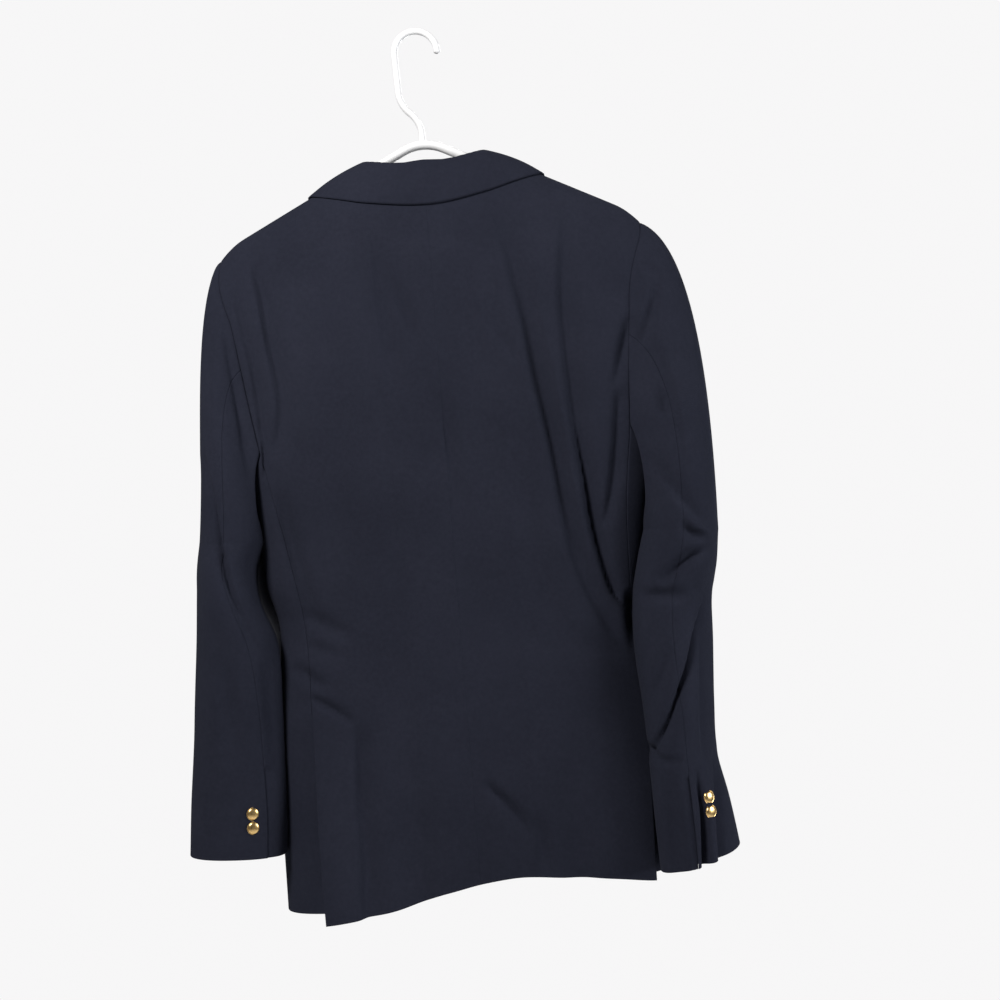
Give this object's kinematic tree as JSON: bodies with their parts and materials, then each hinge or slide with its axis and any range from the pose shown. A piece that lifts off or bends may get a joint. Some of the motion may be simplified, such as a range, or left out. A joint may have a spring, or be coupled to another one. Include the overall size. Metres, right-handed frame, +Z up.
{
  "type": "blazer on hanger",
  "caption": "Single-breasted navy wool blazer with notched lapels, side vents and domed gilt buttons, hanging closed on a white plastic hanger, sleeves down and a little creased.",
  "frame": {"origin": "the point under the top of the hanger's hook where a rail or wall hook holds it", "axes": "+Z up; the blazer's back faces -Y and its front +Y; +X is the wearer's right. The hanger and the body hang 4.6 degrees out of plumb, as in the picture, turned about Y"},
  "size_m": [0.5944, 0.1561, 0.9703],
  "materials": {
    "navy_wool": "matte, fine plain weave",
    "gilt_metal": "satin gilt",
    "white_plastic": "semi-gloss"
  },
  "bodies": {
    "root": {"back_left": "navy_wool", "back_right": "navy_wool", "side_panel_left": "navy_wool", "side_panel_right": "navy_wool", "front_left": "navy_wool", "front_right": "navy_wool", "top_sleeve_left": "navy_wool", "top_sleeve_right": "navy_wool", "under_sleeve_left": "navy_wool", "under_sleeve_right": "navy_wool", "collar": "navy_wool", "lapel_left": "navy_wool", "lapel_right": "navy_wool", "breast_welt": "navy_wool", "pocket_flap_left": "navy_wool", "pocket_flap_right": "navy_wool", "cuff_button_left_1": "gilt_metal", "cuff_button_left_2": "gilt_metal", "cuff_button_right_1": "gilt_metal", "cuff_button_right_2": "gilt_metal", "front_button_1": "gilt_metal", "front_button_2": "gilt_metal", "hanger": "white_plastic"}
  },
  "joints": []
}
